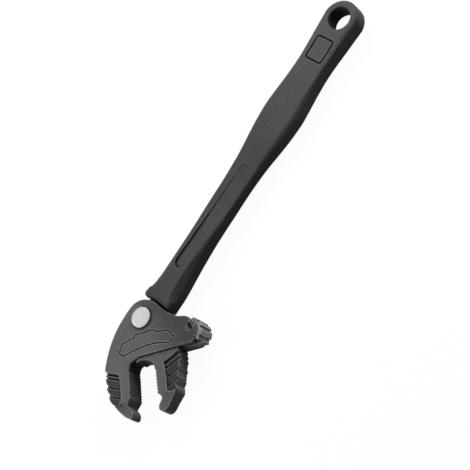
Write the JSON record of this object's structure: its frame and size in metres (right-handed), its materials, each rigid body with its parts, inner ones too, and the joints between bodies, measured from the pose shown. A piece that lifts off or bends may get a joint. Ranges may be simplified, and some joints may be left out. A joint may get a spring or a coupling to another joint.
{
  "type": "adjustable ratchet wrench",
  "caption": "Self-adjusting ratchet wrench: forged hook jaw, sprung sliding lower jaw with a thumb pad, and a long waisted handle that swings on a headed pin.",
  "frame": {"origin": "on the pivot pin's axis, at the pin's back end, which is level with the back of the head", "axes": "+X along the handle to its hanging hole, +Y to the hook's side, +Z out of the front face"},
  "size_m": [0.2766, 0.0615, 0.0143],
  "materials": {
    "head_coating": "satin",
    "handle_coating": "satin",
    "jaw_coating": "satin",
    "pad_coating": "satin",
    "pin_steel": "satin",
    "ring_steel": "satin",
    "bushing_bronze": "satin",
    "screw_steel": "satin",
    "spacer_steel": "satin",
    "spring_pin_steel": "satin",
    "plunger_steel": "satin",
    "jaw_spring_steel": "satin",
    "handle_spring_steel": "satin"
  },
  "bodies": {
    "head": {"head": "head_coating", "pivot_pin": "pin_steel", "pivot_back_ring": "ring_steel", "cheek_screw": "screw_steel", "cheek_spacer": "spacer_steel", "jaw_spring_pin": "spring_pin_steel", "jaw_spring": "jaw_spring_steel", "handle_spring": "handle_spring_steel"},
    "handle": {"handle": "handle_coating", "pivot_bushing": "bushing_bronze"},
    "jaw": {"movable_jaw": "jaw_coating", "thumb_pad": "pad_coating"},
    "plunger": {"handle_plunger": "plunger_steel"}
  },
  "joints": [
    {"name": "handle_swing", "type": "hinge", "parent": "head", "child": "handle", "pos_m": [0, 0, 0.0065], "axis": [0, 0, 1], "range_deg": [0, 12], "stiffness_Nm_per_rad": 0.06, "springref_deg": -24.98},
    {"name": "jaw_slide", "type": "slide", "parent": "head", "child": "jaw", "axis": [0.6896, -0.7242, 0], "range_m": [0, 0.014], "stiffness_N_per_m": 1400, "springref_m": -0.004, "deforming": ["jaw_spring"]},
    {"name": "plunger_slide", "type": "slide", "parent": "head", "child": "plunger", "axis": [-1, 0, 0], "range_m": [0, 0.00116], "deforming": ["handle_spring"]}
  ],
  "couplings": [
    {"joint": "plunger_slide", "follows": "handle_swing", "m_per_rad": 0.0055}
  ]
}
